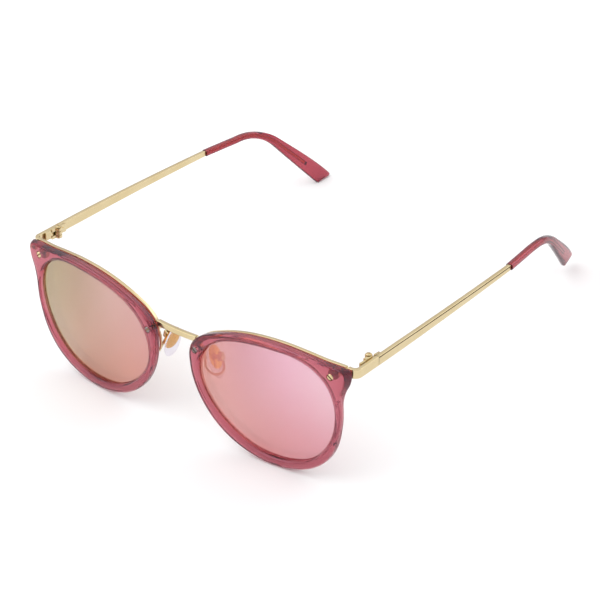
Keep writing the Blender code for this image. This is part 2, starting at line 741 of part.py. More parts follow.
def pad_matrix(side):
    """Pad axes with the origin at the pad screw."""
    up, across, nose = pad_axes(side)
    centre = Vector((side * PAD_CENTRE[0], PAD_CENTRE[1], PAD_CENTRE[2]))
    pivot = centre + up * PIVOT_U + nose * PIVOT_N
    if side == RIGHT:
        across = -across
    turn = Matrix((up, across, nose)).transposed()
    return turn, pivot


def ellipse_ring(half_u, half_v, n, segments=28, shift_u=0.0):
    ring = []
    for i in range(segments):
        angle = 2 * math.pi * i / segments
        ring.append((shift_u + half_u * math.cos(angle), half_v * math.sin(angle), n))
    return ring


def build_pad(side, parent):
    """Silicone oval, flat behind and domed towards the nose."""
    bm = bmesh.new()
    base = -PIVOT_N
    u0 = -PIVOT_U
    a, b = PAD_HALF
    rings = [ellipse_ring(a * k, b * k, base + PAD_THICKNESS * h, 28, u0)
             for k, h in ((0.97, 0.0), (1.0, 0.2), (0.95, 0.55), (0.8, 0.85), (0.45, 1.0))]
    loft(bm, rings)
    name = "nose_pad_" + SIDE_NAMES[side]
    add_object(name, bm, make_material(name, (0.85, 0.84, 0.88), 0.25, 0.0, 0.85), parent)


def build_pad_plate(side, parent):
    """Gold plate in the back of the pad with its pivot lug."""
    bm = bmesh.new()
    near, far = PLATE_NEAR - PIVOT_N, PLATE_FAR - PIVOT_N
    a, b = PLATE_HALF
    loft(bm, [ellipse_ring(a, b, far), ellipse_ring(a, b, near)])
    name = "nose_pad_plate_" + SIDE_NAMES[side]
    plate = add_object(name, bm, gold(name), parent, 30.0)
    lug = bmesh.new()
    add_box(lug, (-EYE_R * 0.85, -LUG_HALF * 0.9, 0.1), (EYE_R * 0.85, LUG_HALF * 0.9, far + 0.2))
    boolean(plate, helper(name + "_lug", lug, parent), "UNION")
    eye = bmesh.new()
    across = Matrix.Rotation(math.pi / 2, 4, "X")
    add_cylinder(eye, EYE_R, -LUG_HALF, LUG_HALF, 20, across)
    boolean(plate, helper(name + "_eye", eye, parent), "UNION")
    hole = bmesh.new()
    add_cylinder(hole, PAD_BORE_R, -3.0, 3.0, 16, across)
    boolean(plate, helper(name + "_hole", hole, parent), "DIFFERENCE")


def build_pad_box(side, parent):
    """Metal cup: two cheeks beside the plate's lug and a back wall."""
    name = "nose_pad_box_" + SIDE_NAMES[side]
    bm = bmesh.new()
    add_box(bm, (-BOX_HALF_U, -BOX_HALF_V, BOX_BACK), (BOX_HALF_U, BOX_HALF_V, BOX_BACK + BOX_WALL))
    box = add_object(name, bm, gold(name), parent, 30.0)
    for label, low, high in (("front", -BOX_HALF_V, -BOX_SLOT), ("rear", BOX_SLOT, BOX_HALF_V)):
        cheek = bmesh.new()
        add_box(cheek, (-BOX_HALF_U, low, BOX_BACK + 0.1), (BOX_HALF_U, high, BOX_FRONT))
        boolean(box, helper(name + "_cheek_" + label, cheek, parent), "UNION")
    hole = bmesh.new()
    add_cylinder(hole, PAD_BORE_R, -3.0, 3.0, 16, Matrix.Rotation(math.pi / 2, 4, "X"))
    boolean(box, helper(name + "_hole", hole, parent), "DIFFERENCE")


def build_pad_screw(side, parent):
    bm = bmesh.new()
    across = Matrix.Rotation(math.pi / 2 * side, 4, "X")
    head = BOX_HALF_V + FINE_GAP
    profile = [(0.0, -BOX_HALF_V), (PAD_SCREW_R, -BOX_HALF_V), (PAD_SCREW_R, head),
               (PAD_SCREW_HEAD_R, head), (PAD_SCREW_HEAD_R, head + 0.3), (0.0, head + 0.3)]
    turned(bm, profile, 16, across)
    name = "nose_pad_screw_" + SIDE_NAMES[side]
    add_object(name, bm, gold(name), parent)


def arm_path(side):
    """Centre line of the pad arm: down from the nasal boss, round a U and up to the cup."""
    up, _, nose = pad_axes(LEFT)
    pivot = Vector(PAD_CENTRE) + up * PIVOT_U + nose * PIVOT_N
    end = pivot - up * (BOX_HALF_U + FINE_GAP) + nose * ARM_END_N
    foot = end - up * ARM_FOOT
    behind = face_y(*SCREW_NASAL) + RIM_REAR + GAP + BAR_DEPTH + GAP + ARM_DEPTH / 2
    top = Vector((SCREW_NASAL[0], behind, ARM_TOP_Z))
    leg = Vector((ARM_LEG[0], ARM_LEG[1], foot.z))
    neck, knee, shin = ARM_STEPS
    path = [top, top - Vector((0.0, 0.0, neck)), leg + Vector((0.0, -ARM_KNEE, knee)),
            leg + Vector((0.0, 0.0, shin)), leg]
    across = Vector((foot.x - leg.x, foot.y - leg.y, 0.0))
    drop = across.length / 2
    for i in range(1, 8):
        angle = math.pi * i / 8
        dip = Vector((ARM_BULGE, 0.0, -drop)) * math.sin(angle)
        path.append(leg + across * (1 - math.cos(angle)) / 2 + dip)
    path.append(foot)
    path.append(end)
    return [Vector((side * p.x, p.y, p.z)) for p in path]


def build_pad_arm(side, root):
    """Flat arm, swept square to its path."""
    bm = bmesh.new()
    path = arm_path(side)
    flat = (path[-1] - path[4]).cross(Vector((0, 0, 1))).normalized()
    rings = []
    for i, p in enumerate(path):
        run = (path[min(i + 1, len(path) - 1)] - path[max(i - 1, 0)]).normalized()
        deep = run.cross(flat).normalized()
        wide = deep.cross(run).normalized()
        rings.append([p + wide * ARM_WIDTH / 2 * a + deep * ARM_DEPTH / 2 * b
                      for a, b in ((-1, -1), (1, -1), (1, 1), (-1, 1))])
    loft(bm, rings)
    name = "nose_pad_arm_" + SIDE_NAMES[side]
    add_object(name, bm, gold(name), root, 30.0)


# Assembly ----------------------------------------------------------------------------------------

def build_side(side, root):
    name = SIDE_NAMES[side]
    build_rim(side, root)
    build_lens(side, root)
    build_rim_screw("outer", SCREW_OUTER, side, root, (0.80, 0.67, 0.40))
    build_rim_screw("nasal", SCREW_NASAL, side, root, (0.70, 0.69, 0.66))
    build_brow_bar(side, root)
    build_end_piece(side, root)
    hinge = (side * HINGE_X, HINGE_Y, HINGE_Z)
    fixed = add_empty("hinge_seat_" + name, hinge, root)
    swing = add_empty("temple_axis_" + name, hinge, root)
    build_front_leaf(side, fixed)
    build_hinge_screw(side, fixed)
    build_temple_leaf(side, swing)
    build_temple(side, swing)
    build_tip(side, swing, root)
    turn, pivot = pad_matrix(side)
    seat = add_empty("pad_seat_" + name, pivot, root, turn)
    rock = add_empty("pad_axis_" + name, pivot, root, turn)
    build_pad_box(side, seat)
    build_pad_screw(side, seat)
    build_pad_plate(side, rock)
    build_pad(side, rock)
    build_pad_arm(side, root)


def main():
    for obj in list(bpy.data.objects):
        bpy.data.objects.remove(obj)
    root = add_empty("frame_on_table", (0.0, 0.0, REST_LIFT))
    root.rotation_euler = (-REST_TILT, 0.0, 0.0)
    build_bridge(root)
    for side in (RIGHT, LEFT):
        build_side(side, root)
    bpy.context.view_layer.update()
    ys = []
    for obj in bpy.data.objects:
        if obj.type == "MESH" and not obj.hide_render:
            ys += [(obj.matrix_world @ vert.co).y for vert in obj.data.vertices]
    root.location.y = -(min(ys) + max(ys)) / 2


main()
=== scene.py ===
import json
import math

import bmesh
import bpy
from mathutils import Matrix, Vector


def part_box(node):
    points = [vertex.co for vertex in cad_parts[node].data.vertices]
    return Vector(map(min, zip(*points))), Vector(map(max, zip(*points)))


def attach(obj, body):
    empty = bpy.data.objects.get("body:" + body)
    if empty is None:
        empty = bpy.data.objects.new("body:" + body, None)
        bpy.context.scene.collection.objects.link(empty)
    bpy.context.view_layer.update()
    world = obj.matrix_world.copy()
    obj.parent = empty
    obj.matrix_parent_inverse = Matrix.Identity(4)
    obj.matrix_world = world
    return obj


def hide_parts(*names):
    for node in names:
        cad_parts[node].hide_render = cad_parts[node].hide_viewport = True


# Looks for the cat eye sunglasses. Every piece is drawn again with a fine surface in the worn attitude
# of the frame, in millimetres (X to the wearer's left, Y to the ears, Z up), and set down on the table
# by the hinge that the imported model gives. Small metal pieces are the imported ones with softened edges.
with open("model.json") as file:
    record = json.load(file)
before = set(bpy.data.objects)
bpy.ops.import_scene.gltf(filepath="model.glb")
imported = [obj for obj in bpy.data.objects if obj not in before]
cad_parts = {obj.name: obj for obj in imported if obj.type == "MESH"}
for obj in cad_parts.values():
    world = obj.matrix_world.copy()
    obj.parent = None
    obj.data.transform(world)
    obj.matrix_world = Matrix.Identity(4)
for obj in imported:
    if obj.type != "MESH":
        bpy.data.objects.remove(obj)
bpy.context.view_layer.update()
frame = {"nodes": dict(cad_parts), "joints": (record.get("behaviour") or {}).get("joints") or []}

MM = 0.001
LEFT = 1
RIGHT = -1
SIDES = {RIGHT: "right", LEFT: "left"}

# Clearances: between neighbouring pieces, and between temple and end piece at the hinge.
GAP = 0.3
FINE_GAP = 0.15

# Edges sharper than this, in degrees, are shaded as creases.
SMOOTH_ANGLE = 35.0

# Lens surface and outlines: (distance from the middle of the frame, height).
LENS_CENTRE = Vector((39.0, 0.0))
WRAP_X = 34.0
WRAP_SLOPE = 0.075
LENS_CURVE = 0.0011
TILT_SLOPE = -0.0725
LENS_OUTLINE = [(65.6, 0.0), (65.6, 7.2), (63.0, 13.7), (57.6, 18.3), (50.8, 20.3), (42.5, 20.4),
                (34.0, 19.7), (26.0, 18.1), (19.6, 15.5), (14.6, 11.2), (11.7, 5.4), (11.4, -1.2),
                (13.7, -7.2), (18.0, -12.8), (24.0, -17.6), (31.5, -21.1), (39.5, -22.1), (47.0, -21.3),
                (54.0, -18.6), (60.0, -13.2), (63.9, -6.4)]
RIM_OUTLINE = [(67.5, -0.6), (67.8, 4.0), (67.9, 8.4), (68.6, 12.3), (69.5, 15.0), (70.2, 17.4),
               (70.3, 19.8), (69.7, 20.9), (68.2, 21.3), (61.0, 21.7), (54.0, 22.4), (46.0, 22.9),
               (38.0, 22.7), (30.5, 21.8), (24.0, 20.3), (18.0, 18.2), (13.2, 15.9), (9.6, 12.6),
               (7.9, 8.6), (7.8, 4.6), (8.5, -1.0), (11.0, -7.9), (15.2, -14.3), (20.6, -19.3),
               (28.5, -23.4), (38.5, -25.4), (46.5, -24.7), (54.5, -21.9), (60.9, -17.0), (65.2, -10.0)]

# Rim and lens sections.
RIM_FRONT = -1.4
RIM_REAR = 2.0
RIM_CHAMFER_FRONT = 0.6
RIM_CHAMFER_REAR = 0.75
RIM_ROUNDING = 0.28
GROOVE_FRONT = 0.15
GROOVE_REAR = 1.25
GROOVE_DEPTH = 0.85
LUG_FLARE = 0.9
LUG_START_X = 67.6
LUG_FLARE_RUN = 2.0
LENS_THICKNESS = 1.8
LENS_CLEARANCE = 0.2
LENS_EDGE_EASE = (0.12, 0.1)
TONGUE_FRONT = 0.35
TONGUE_REAR = 1.05
TONGUE_REACH = 0.5
RIM_STATIONS = 260
LENS_STATIONS = 200
LENS_RINGS = 10

# Rim screws.
SCREW_OUTER = (65.0, 17.9)
SCREW_NASAL = (10.6, 9.7)
SCREW_HOLE_R = 0.75
SCREW_SEAT_R = 1.3
SCREW_SEAT_DEPTH = 0.65
SLOT_REACH = 0.9
SLOT_SHADE = (-0.05, 0.4)
HOLE_NEAR = -4.0
HOLE_FAR = 8.0
BORE_FAR = 12.0
HOLE_SEGMENTS = 32
BOSS_SEGMENTS = 48

# Gold chassis.
BAR_DEPTH = 1.3
BAR_HEIGHT = 1.9
BAR_INSET = 0.25
BAR_NASAL_Z = 9.0
BAR_OUTER_X = 68.35
BAR_OUTER_Z = 21.0
BOSS_R = 1.9
BOSS_NASAL_R = 1.6
BRIDGE_HALF = 8.55
BRIDGE_Z = 11.75
BRIDGE_HEIGHT = 1.9
BRIDGE_DEPTH = 1.7
BRIDGE_END_Y = 0.6
BRIDGE_BOW = 0.4
BRIDGE_STEPS = 48
EDGE_ROUNDING = 0.16
BRIDGE_ROUNDING = EDGE_ROUNDING * 1.6

# Side strips and end pieces.
STRIP_OUTER_X = 72.25
STRIP_THICKNESS = 1.45
STRIP_TOE_IN = 0.0097
STRIP_CURVE = 0.000295
STRIP_Z = 19.5
STRIP_RISE = 0.041
STRIP_FALL = 0.00008
STRIP_HEIGHT = 3.3
STRIP_HEIGHT_END = 1.9
STRIP_TAPER_Y = 28.0
CORNER_RADIUS = 2.7
CORNER_Y = 8.1
CORNER_STEPS = 24
END_PIECE_START_X = 68.6
HINGE = Vector((69.35, 15.3, 19.65))
JOINT_Y = 17.0
GROOVE_LINE_DROP = 0.2
GROOVE_LINE_WIDTH = 0.34
GROOVE_LINE_DEPTH = 0.3
# Faces of the groove line along the temple, which take the darker gold as painted shade.
SHADED_GROOVE_FACES = (4, 5, 6)
STRIP_STATIONS = 60

# Material slots of a temple: the first is plain gold, the second a darker gold that paints shade into the
# groove line and the screw slots. A rim screw has only the first two.
PAINTED_SHADE_SLOT = 1
CORE_SLOT = 2

# Temple tips.
TIP_START_Y = 91.4
TIP_BEND_Y = 108.5
TIP_BEND_RADIUS = 21.3
TIP_BEND = {LEFT: math.radians(45.0), RIGHT: math.radians(50.0)}
TIP_STRAIGHT = 26.9
TIP_TOE_IN = 0.25
TIP_TOE_START = 16.0
TIP_TOE_EASE = 20.0
TIP_SETTLE = 1.0
TIP_SETTLE_RUN = 15.0
TIP_RISE = STRIP_RISE * 0.7
TIP_SIZE = (2.6, 2.2)
PADDLE_SIZE = (2.0, 6.2)
PADDLE_OFFSET = 1.85
TIP_END_SLANT = 0.51
TIP_END_CAP = 0.6
TIP_END_NARROWING = 0.28
TIP_END_STEPS = 6
TIP_STATIONS = 90
OVAL_POWER = 0.55
OVAL_SEGMENTS = 36
CORE_SIZE = (1.0, 1.1)
CORE_STOP = 11.0
CORE_CLEARANCE = 0.15
CHANNEL_SPARE = 1.0

# Nose pads, in their own axes: u up the length, v across towards the ear, n towards the nose.
PAD_CENTRE = Vector((9.9, 8.2, 0.8))
PAD_HALF = (6.9, 3.2)
PAD_THICKNESS = 1.8
PAD_DOWN = Vector((0.32, 0.08, -0.94))
PAD_SPLAY = math.radians(-8.0)
PIVOT_U = 1.1
PIVOT_N = -2.2
PAD_SEGMENTS = 72
PAD_SMOOTH_ANGLE = 60.0

# Pad section from the flat back to the crown: share of the half size, share of the thickness.
PAD_PROFILE = [(0.4, 0.0), (0.93, 0.0), (0.975, 0.03), (1.0, 0.2), (0.99, 0.36), (0.95, 0.55), (0.88, 0.72),
               (0.78, 0.86), (0.62, 0.95), (0.4, 0.99), (0.15, 1.0)]

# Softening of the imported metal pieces: weld distance in metres, angles in degrees, width in millimetres.
WELD_DISTANCE = 0.000002
FLAT_ANGLE = 0.8
EDGE_ANGLE = 30.0
SOFT_EDGE = 0.07
SOFT_SMOOTH_ANGLE = 32.0

# The camera in the worn frame: direction, distance to the turning point, its offset, focal length.
VIEW_AZIMUTH = math.radians(40.0)
VIEW_ELEVATION = math.radians(28.78)
VIEW_DISTANCE = 900.0
VIEW_OFFSET = (-41.008, -20.583)
SENSOR = 36.0
FOCAL = 161.59
CLIP_END = 20.0

# Studio: floor size, world colours by height, and lights as place, size and power.
FLOOR_SIZE = 4.0
HORIZON = (0.53, 0.48, 0.54, 1.0)
WHITE = (1.0, 1.0, 1.0, 1.0)
BRIGHT_FROM = 0.55
KEY_LIGHT = ((-0.6, -0.5, 1.1), (1.3, 1.3), 6.0)
BACK_LIGHT = ((0.4, 1.1, 0.8), (1.4, 0.8), 3.0)


# Placing -----------------------------------------------------------------------------------------

def table_matrix():
    """From the worn attitude in millimetres to the table in metres, by the left hinge."""
    joint = next(j for j in frame["joints"] if j["name"] == "temple_fold_left")
    tilt = math.atan2(joint["axis"][1], joint["axis"][2])
    turn = Matrix.Rotation(-tilt, 4, "X")
    hinge = Vector(joint["pos_m"])
    return Matrix.Translation(hinge - (turn @ HINGE) * MM) @ turn @ Matrix.Scale(MM, 4)


TABLE = table_matrix()


# Materials ---------------------------------------------------------------------------------------

def linear(*colour):
    """Scene colour from 0 to 255 display values."""
    out = []
    for value in colour:
        c = value / 255.0
        out.append(c / 12.92 if c <= 0.04045 else ((c + 0.055) / 1.055) ** 2.4)
    return (*out, 1.0)


# The part of a noise texture's range that is put to use.
NOISE_LOW = 0.3
NOISE_HIGH = 0.7


class Look:
    """A Principled material with helpers for procedural detail in the piece's own coordinates."""

    def __init__(self, name, **values):
        self.material = bpy.data.materials.new(name)
        self.material.use_nodes = True
        self.tree = self.material.node_tree
        self.shader = self.tree.nodes["Principled BSDF"]
        for key, value in values.items():
            self.shader.inputs[key.replace("_", " ")].default_value = value
        self.coords = self.tree.nodes.new("ShaderNodeTexCoord")

    def add(self, kind, **settings):
        node = self.tree.nodes.new(kind)
        for key, value in settings.items():
            setattr(node, key, value)
        return node

    def link(self, source, target):
        self.tree.links.new(source, target)

    def noise(self, scale, detail=2.0, stretch=(1.0, 1.0, 1.0)):
        mapping = self.add("ShaderNodeMapping")
        mapping.inputs["Scale"].default_value = stretch
        self.link(self.coords.outputs["Object"], mapping.inputs["Vector"])
        node = self.add("ShaderNodeTexNoise")
        node.inputs["Scale"].default_value = scale
        node.inputs["Detail"].default_value = detail
        self.link(mapping.outputs["Vector"], node.inputs["Vector"])
        return node.outputs["Fac"]

    def ramp(self, source, stops):
        node = self.add("ShaderNodeValToRGB")
        elements = node.color_ramp.elements
        elements[0].position, elements[0].color = stops[0]
        elements[1].position, elements[1].color = stops[-1]
        for position, colour in stops[1:-1]:
            elements.new(position).color = colour
        self.link(source, node.inputs["Fac"])
        return node.outputs["Color"]

    def colour(self, source, deep, pale):
        """Base colour that drifts with a noise."""
        tint = self.ramp(source, [(NOISE_LOW, deep), (NOISE_HIGH, pale)])
        self.link(tint, self.shader.inputs["Base Color"])

    def share(self, source, low, high, **settings):
        """How far a value lies from low to high, from 0 to 1."""
        node = self.add("ShaderNodeMapRange", **settings)
        node.inputs["From Min"].default_value = low
        node.inputs["From Max"].default_value = high
        self.link(source, node.inputs["Value"])
        return node.outputs["Result"]

    def roughness(self, source, low, high):
        """Roughness that drifts with a noise."""
        node = self.add("ShaderNodeMapRange")
        ends = (("From Min", NOISE_LOW), ("From Max", NOISE_HIGH), ("To Min", low), ("To Max", high))
        for key, value in ends:
            node.inputs[key].default_value = value
        self.link(source, node.inputs["Value"])
        self.link(node.outputs["Result"], self.shader.inputs["Roughness"])

    def bump(self, source, strength, distance):
        node = self.add("ShaderNodeBump")
        node.inputs["Strength"].default_value = strength
        node.inputs["Distance"].default_value = distance
        self.link(source, node.inputs["Height"])
        self.link(node.outputs["Normal"], self.shader.inputs["Normal"])


def gold_look(name, deep, pale):
    """Polished plating: warm, with faint clouding and hairline polishing marks."""
    look = Look(name, Metallic=1.0)
    look.colour(look.noise(90.0, 2.0), deep, pale)
    look.roughness(look.noise(500.0, 3.0), 0.18, 0.24)
    look.bump(look.noise(900.0, 2.0, (1.0, 0.08, 1.0)), 0.02, 0.00001)
    return look.material


def silver_look():
    """White metal of the nasal screws, painted darker and warmer than bare metal: painted shade and rose
    reflection from the rim seat it sits in.
    """
    look = Look("silver_metal", Metallic=1.0)
    look.colour(look.noise(400.0), linear(128, 116, 114), linear(152, 138, 136))
    look.roughness(look.noise(1200.0, 3.0), 0.18, 0.3)
    look.bump(look.noise(1800.0, 2.0), 0.05, 0.00002)
    return look.material


# Colour that the acetate lets through, and how strongly it takes up the rest.
ACETATE_BODY = (0.74, 0.12, 0.24, 1.0)
RIM_DENSITY = 480.0
TIP_DENSITY = 900.0


def acetate_look(name, density, deep, pale):
    """Translucent sheet acetate: slow colour drift, polished surface with a little orange peel."""
    look = Look(name, IOR=1.5, Transmission_Weight=0.97, Specular_Tint=(0.92, 0.72, 0.98, 1.0))
    look.colour(look.noise(60.0, 3.0, (1.0, 0.5, 1.0)), deep, pale)
    look.roughness(look.noise(90.0, 1.0), 0.03, 0.05)
    look.bump(look.noise(60.0, 1.0), 0.004, 0.00002)
    body = look.add("ShaderNodeVolumeAbsorption")
    body.inputs["Color"].default_value = ACETATE_BODY
    body.inputs["Density"].default_value = density
    output = next(n for n in look.tree.nodes if n.type == "OUTPUT_MATERIAL")
    look.link(body.outputs["Volume"], output.inputs["Volume"])
    return look.material


def silicone_look():
    """Clear soft silicone with a faint sheen, which bends little light so that the plate shows."""
    look = Look("clear_silicone", IOR=1.08, Transmission_Weight=1.0, Coat_Weight=0.6, Coat_Roughness=0.08)
    look.colour(look.noise(300.0), linear(232, 228, 238), linear(240, 237, 245))
    look.roughness(look.noise(600.0, 2.0), 0.03, 0.08)
    look.bump(look.noise(400.0, 1.0), 0.01, 0.00002)
    return look.material


LENS_ALPHA = 0.55
LENS_DRIFT = 0.35
LENS_DRIFT_GREY = (0.93, 0.93, 0.93, 1.0)


def coated(*colour):
    """Coat colour that shows as the given one over a pale floor seen faintly through both faces."""
    through = (1.0 - LENS_ALPHA) ** 2
    return (*((c - through) / (1.0 - through) for c in linear(*colour)[:3]), 1.0)


def lens_look(side, top, bottom):
    """Mirror coating whose colour changes across the lens and towards its lower edge, partly its own tint and
    partly painted reflection and a painted highlight.
    """
    name = "lens_" + SIDES[side]
    look = Look("mirror_" + name, Metallic=0.9, IOR=1.5, Alpha=LENS_ALPHA)
    low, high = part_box(name)
    split = look.add("ShaderNodeSeparateXYZ")
    look.link(look.coords.outputs["Object"], split.inputs["Vector"])
    across = look.share(split.outputs["X"], low.x, high.x)
    height = look.share(split.outputs["Z"], low.z, high.z, interpolation_type="SMOOTHSTEP")
    mix = look.add("ShaderNodeMix", data_type="RGBA")
    look.link(height, mix.inputs["Factor"])
    look.link(look.ramp(across, bottom), mix.inputs["A"])
    look.link(look.ramp(across, top), mix.inputs["B"])
    drift = look.add("ShaderNodeMix", data_type="RGBA", blend_type="MULTIPLY")
    drift.inputs["Factor"].default_value = LENS_DRIFT
    look.link(mix.outputs["Result"], drift.inputs["A"])
    cloud = look.ramp(look.noise(45.0, 2.0), [(NOISE_LOW, LENS_DRIFT_GREY), (NOISE_HIGH, WHITE)])
    look.link(cloud, drift.inputs["B"])
    look.link(drift.outputs["Result"], look.shader.inputs["Base Color"])
    look.roughness(look.noise(120.0, 2.0), 0.1, 0.16)
    return look.material


GOLD = gold_look("gold_metal", linear(211, 192, 148), linear(219, 202, 162))
PAD_GOLD = gold_look("pad_gold", linear(244, 184, 58), linear(250, 196, 74))
# Darker gold that paints shade into the temple's groove line and the rim screws' slots.
PAINTED_SHADE_GOLD = gold_look("painted_shade_gold", linear(122, 96, 62), linear(136, 108, 72))
SILVER = silver_look()
RIM_ACETATE = acetate_look("rose_acetate", RIM_DENSITY, linear(226, 186, 190), linear(236, 200, 204))
TIP_ACETATE = acetate_look("rose_acetate_tip", TIP_DENSITY, linear(212, 138, 142), linear(222, 150, 154))
SILICONE = silicone_look()
# Colour stops of each lens, upper then lower: besides the coating's tint they hold painted reflection, with a
# painted soft highlight at the left lens's upper outer corner, and the two lenses of one coating are painted
# in different colours for what each reflects.
LENS_LOOKS = {
    RIGHT: lens_look(RIGHT,
                     [(0.0, coated(180, 166, 128)), (0.35, coated(186, 158, 134)),
                      (0.65, coated(210, 172, 162)), (1.0, coated(219, 171, 170))],
                     [(0.0, coated(197, 182, 156)), (0.4, coated(211, 169, 152)),
                      (0.8, coated(229, 174, 161)), (1.0, coated(229, 168, 160))]),
    LEFT: lens_look(LEFT,
                    [(0.0, coated(226, 168, 158)), (0.35, coated(219, 166, 175)),
                     (0.65, coated(232, 184, 200)), (1.0, coated(241, 206, 217))],
                    [(0.0, coated(226, 176, 168)), (0.4, coated(230, 174, 173)),
                     (0.7, coated(232, 174, 179)), (1.0, coated(230, 172, 182))]),
}


# Mesh helpers ------------------------------------------------------------------------------------

def face_y(x, z):
    """Lens surface at distance x from the middle and height z."""
    out = x - WRAP_X
    return WRAP_SLOPE * out + LENS_CURVE * out * out + TILT_SLOPE * z + LENS_CURVE * z * z


def face_normal(x, z):
    """Normal of the lens surface on the left side, pointing to the ears."""
    slope_x = WRAP_SLOPE + 2 * LENS_CURVE * (x - WRAP_X)
    return Vector((-slope_x, 1.0, -TILT_SLOPE - 2 * LENS_CURVE * z)).normalized()


def on_face(flat, depth, side):
    return Vector((side * flat.x, face_y(flat.x, flat.y) + depth, flat.y))


def smooth_loop(points, steps=16):
    """Closed centripetal Catmull-Rom curve through the points."""
    pairs = (((0, 1), (1, 2), (2, 3)), ((0, 2), (1, 3)), ((1, 2),))
    curve = []
    for i in range(len(points)):
        quad = [Vector(points[(i + k) % len(points)]) for k in (-1, 0, 1, 2)]
        knots = [0.0]
        for a, b in zip(quad, quad[1:]):
            knots.append(knots[-1] + math.sqrt((b - a).length))
        for step in range(steps):
            t = knots[1] + (knots[2] - knots[1]) * step / steps
            level = quad
            for spans in pairs:
                level = [level[j].lerp(level[j + 1], (t - knots[a]) / (knots[b] - knots[a]))
                         for j, (a, b) in enumerate(spans)]
            curve.append(level[0])
    return curve


def even_stations(curve, count):
    """Points at equal arc length along a closed curve."""
    loop = curve + [curve[0]]
    lengths = [0.0]
    for a, b in zip(loop, loop[1:]):
        lengths.append(lengths[-1] + (b - a).length)
    stations = []
    j = 0
    for i in range(count):
        target = lengths[-1] * i / count
        while lengths[j + 1] < target:
            j += 1
        stations.append(loop[j].lerp(loop[j + 1], (target - lengths[j]) / (lengths[j + 1] - lengths[j])))
    return stations


def reach_towards(curve, direction):
    """Distance from the lens centre to the lens outline along a direction."""
    side = Vector((-direction.y, direction.x))
    for a, b in zip(curve, curve[1:] + curve[:1]):
        pa, pb = a - LENS_CENTRE, b - LENS_CENTRE
        sa, sb = pa.dot(side), pb.dot(side)
        if sa <= 0.0 < sb and pa.dot(direction) + pb.dot(direction) > 0.0:
            return pa.lerp(pb, sa / (sa - sb)).dot(direction)
    raise ValueError("the outline does not surround the lens centre")


def rounded(section, radius, steps=3):
    """Closed section with each corner eased by a short curve."""
    points = [Vector(p) for p in section]
    out = []
    for i, p in enumerate(points):
        before, after = points[i - 1] - p, points[(i + 1) % len(points)] - p
        a = p + before * min(radius / before.length, 0.4)
        b = p + after * min(radius / after.length, 0.4)
        for k in range(steps + 1):
            t = k / steps
            out.append(a * (1 - t) ** 2 + p * 2 * t * (1 - t) + b * t ** 2)
    return out


def loft(bm, rings, closed_path=False, caps=True):
    """Skin through rings of equal length, with the two end caps as the last faces."""
    loops = [[bm.verts.new(p) for p in ring] for ring in rings]
    pairs = list(zip(loops, loops[1:]))
    if closed_path:
        pairs.append((loops[-1], loops[0]))
    for a, b in pairs:
        for i in range(len(a)):
            j = (i + 1) % len(a)
            bm.faces.new((a[i], a[j], b[j], b[i]))
    if caps and not closed_path:
        bm.faces.new(reversed(loops[0]))
        bm.faces.new(loops[-1])
    return loops


def cylinder(bm, radius, z0, z1, segments, matrix):
    """Closed cylinder along the Z axis of a matrix."""
    centre = Matrix.Translation((0, 0, (z0 + z1) / 2))
    bmesh.ops.create_cone(bm, cap_ends=True, segments=segments, radius1=radius, radius2=radius,
                          depth=z1 - z0, matrix=matrix @ centre)


def piece(name, bm, material, matrix=TABLE, smooth=SMOOTH_ANGLE):
    """Mesh object on the table from worn-frame millimetres."""
    bmesh.ops.recalc_face_normals(bm, faces=bm.faces)
    bm.transform(matrix)
    mesh = bpy.data.meshes.new(name)
    bm.to_mesh(mesh)
    bm.free()
    mesh.shade_smooth()
    mesh.set_sharp_from_angle(angle=math.radians(smooth))
    mesh.materials.append(material)
    obj = bpy.data.objects.new(name, mesh)
    bpy.context.scene.collection.objects.link(obj)
    return obj


def cut(obj, bm, operation="DIFFERENCE"):
    """Boolean with a throwaway tool, applied at once."""
    tool = piece("tool", bm, obj.data.materials[0])
    modifier = obj.modifiers.new("cut", "BOOLEAN")
    modifier.operation = operation
    modifier.solver = "EXACT"
    modifier.object = tool
    bpy.context.view_layer.update()
    depsgraph = bpy.context.evaluated_depsgraph_get()
    mesh = bpy.data.meshes.new_from_object(obj.evaluated_get(depsgraph))
    obj.modifiers.clear()
    obj.data = mesh
    mesh.set_sharp_from_angle(angle=math.radians(SMOOTH_ANGLE))
    bpy.data.objects.remove(tool)


def level(obj):
    """Flatten what would reach under the table."""
    for vert in obj.data.vertices:
        vert.co.z = max(vert.co.z, 0.0)


def stand_in(obj, node, body):
    """Puts a fine piece in the place of an imported one."""
    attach(obj, body)
    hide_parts(node)


def screw_matrix(spot, side):
    """Axes at a rim screw: origin on the rim's front face, +Z towards the ears."""
    x, z = spot
    normal = face_normal(x, z)
    normal.x *= side
    turn = normal.to_track_quat("Z", "Y").to_matrix().to_4x4()
    return Matrix.Translation((side * x, face_y(x, z) + RIM_FRONT, z)) @ turn


# Rims and lenses ---------------------------------------------------------------------------------

def rim_section(width, flare):
    """Rim section: distance outward from the opening, depth behind the lens surface, sideways flare."""
    front, rear = RIM_CHAMFER_FRONT, RIM_CHAMFER_REAR
    return [(0.0, RIM_FRONT + front, 0.0), (front, RIM_FRONT, 0.0), (width - front, RIM_FRONT, 0.0),
            (width, RIM_FRONT + front, 0.0), (width, RIM_REAR - rear, flare), (width - rear, RIM_REAR, flare),
            (rear, RIM_REAR, 0.0), (0.0, RIM_REAR - rear * 0.5, 0.0), (0.0, GROOVE_REAR, 0.0),
            (GROOVE_DEPTH, GROOVE_REAR, 0.0), (GROOVE_DEPTH, GROOVE_FRONT, 0.0), (0.0, GROOVE_FRONT, 0.0)]


